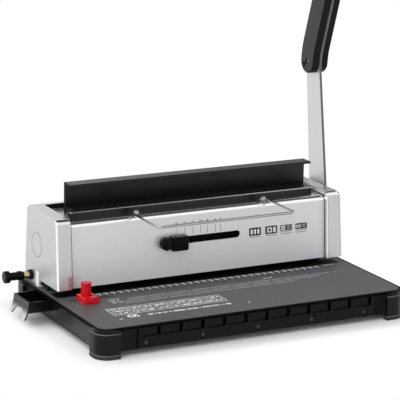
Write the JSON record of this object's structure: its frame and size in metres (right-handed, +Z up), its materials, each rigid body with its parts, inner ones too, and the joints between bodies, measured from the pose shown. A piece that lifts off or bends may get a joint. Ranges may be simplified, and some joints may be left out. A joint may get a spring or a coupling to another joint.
{
  "type": "wire binding machine",
  "caption": "Desk machine that punches a row of square holes and closes a wire comb, with pull handle, selector slide, book rest, side stop and chip drawer.",
  "frame": {"origin": "on the floor, at the centre of the rectangle round the whole machine as it stands with its drawer part open", "axes": "+X along the row of holes towards the handle, +Y away from the user, +Z up"},
  "size_m": [0.399, 0.2246, 0.3583],
  "materials": {
    "black_moulding": "fine matt grain",
    "dark_satin_steel": "satin",
    "foot_rubber": "matt",
    "zinc_steel": "satin zinc",
    "gloss_black": "gloss",
    "dark_screw": "satin black",
    "tool_steel": "ground",
    "bronze": "satin",
    "silver_paint": "satin silver",
    "black_trim": "matt",
    "silver_moulding": "satin silver",
    "bright_steel": "brushed",
    "grip_grey": "fine grain",
    "black_steel": "satin black",
    "spring_steel": "drawn",
    "chrome_wire": "polished",
    "drawer_black": "satin",
    "red_plastic": "satin",
    "brass": "polished",
    "white_nylon": "matt"
  },
  "bodies": {
    "machine": {"base_frame": "black_moulding", "base_plate": "dark_satin_steel", "rubber_feet": "foot_rubber", "bottom_pan": "zinc_steel", "front_fascia": "gloss_black", "fascia_screws": "dark_screw", "die_plate": "tool_steel", "side_frames": "zinc_steel", "shaft_bushes": "bronze", "front_panel": "silver_paint", "deck_plate": "silver_paint", "recess_trim": "black_trim", "rear_cover": "silver_paint", "left_cap": "silver_moulding", "right_cap": "silver_moulding", "cap_plug": "silver_moulding", "anvil_bar": "black_steel", "punch_guide": "tool_steel", "spring_posts": "tool_steel", "return_springs": "spring_steel", "bail_lugs": "silver_paint", "drawer_rails": "zinc_steel", "margin_flange": "black_trim", "rear_screws": "zinc_steel"},
    "handle": {"handle_shaft": "tool_steel", "handle_arm": "bright_steel", "hub_bolt": "zinc_steel", "grip_left": "grip_grey", "grip_right": "grip_grey", "grip_screws": "zinc_steel", "jaw_cranks": "tool_steel", "punch_gears": "tool_steel"},
    "jaw": {"upper_jaw": "black_steel", "jaw_forks": "tool_steel", "stop_finger": "tool_steel", "jaw_screws": "zinc_steel"},
    "punch_unit": {"punch_racks": "tool_steel", "punch_carriage": "tool_steel", "pin_retainer": "tool_steel", "punch_pins": "tool_steel"},
    "selector": {"selector_slider": "gloss_black", "closing_stop": "zinc_steel"},
    "selector_knob": {"selector_lock": "gloss_black"},
    "bail": {"wire_bail": "chrome_wire"},
    "drawer": {"chip_drawer": "drawer_black"},
    "side_stop": {"paper_stop": "red_plastic", "stop_keeper": "zinc_steel"},
    "side_stop_knob": {"stop_knob": "red_plastic"},
    "margin_adjuster": {"margin_axle_rod": "tool_steel", "margin_spacer": "brass", "margin_knob": "gloss_black"},
    "margin_bar": {"back_stop": "zinc_steel", "margin_tab": "white_nylon"}
  },
  "joints": [
    {"name": "handle_pull", "type": "hinge", "parent": "machine", "child": "handle", "pos_m": [0.0135, 0.064, 0.079], "axis": [1, 0, 0], "range_deg": [0, 80]},
    {"name": "jaw_close", "type": "slide", "parent": "machine", "child": "jaw", "axis": [0, 0, -1], "range_m": [0, 0.0189]},
    {"name": "punch_stroke", "type": "slide", "parent": "machine", "child": "punch_unit", "axis": [0, 0, -1], "range_m": [0, 0.0126], "stiffness_N_per_m": 4000, "springref_m": -0.006, "deforming": ["return_springs"]},
    {"name": "selector_slide", "type": "slide", "parent": "machine", "child": "selector", "axis": [1, 0, 0], "range_m": [0, 0.07]},
    {"name": "selector_lock_turn", "type": "hinge", "parent": "selector", "child": "selector_knob", "pos_m": [-0.0358, 0, 0.0795], "axis": [0, 1, 0], "range_deg": [0, 120]},
    {"name": "bail_fold", "type": "hinge", "parent": "machine", "child": "bail", "pos_m": [0.0105, 0.0205, 0.1146], "axis": [-1, 0, 0], "range_deg": [0, 95]},
    {"name": "drawer_slide", "type": "slide", "parent": "machine", "child": "drawer", "axis": [-1, 0, 0], "range_m": [-0.023, 0.25]},
    {"name": "side_stop_slide", "type": "slide", "parent": "machine", "child": "side_stop", "axis": [1, 0, 0], "range_m": [-0.01, 0.024]},
    {"name": "side_stop_knob_turn", "type": "hinge", "parent": "side_stop", "child": "side_stop_knob", "pos_m": [-0.1395, -0.009, 0.047], "axis": [0, 0, 1], "range_deg": [0, 270]},
    {"name": "margin_turn", "type": "hinge", "parent": "machine", "child": "margin_adjuster", "pos_m": [-0.1765, 0.077, 0.042], "axis": [1, 0, 0], "range_deg": [-45, 45]},
    {"name": "margin_bar_slide", "type": "slide", "parent": "machine", "child": "margin_bar", "axis": [0, 1, 0], "range_m": [-0.0014, 0.0014]}
  ],
  "couplings": [
    {"joint": "jaw_close", "follows": "handle_pull", "m_per_rad": 0.013465},
    {"joint": "punch_stroke", "follows": "handle_pull", "m_per_rad": 0.009},
    {"joint": "margin_turn", "follows": "margin_bar_slide", "rad_per_m": 555.56}
  ]
}
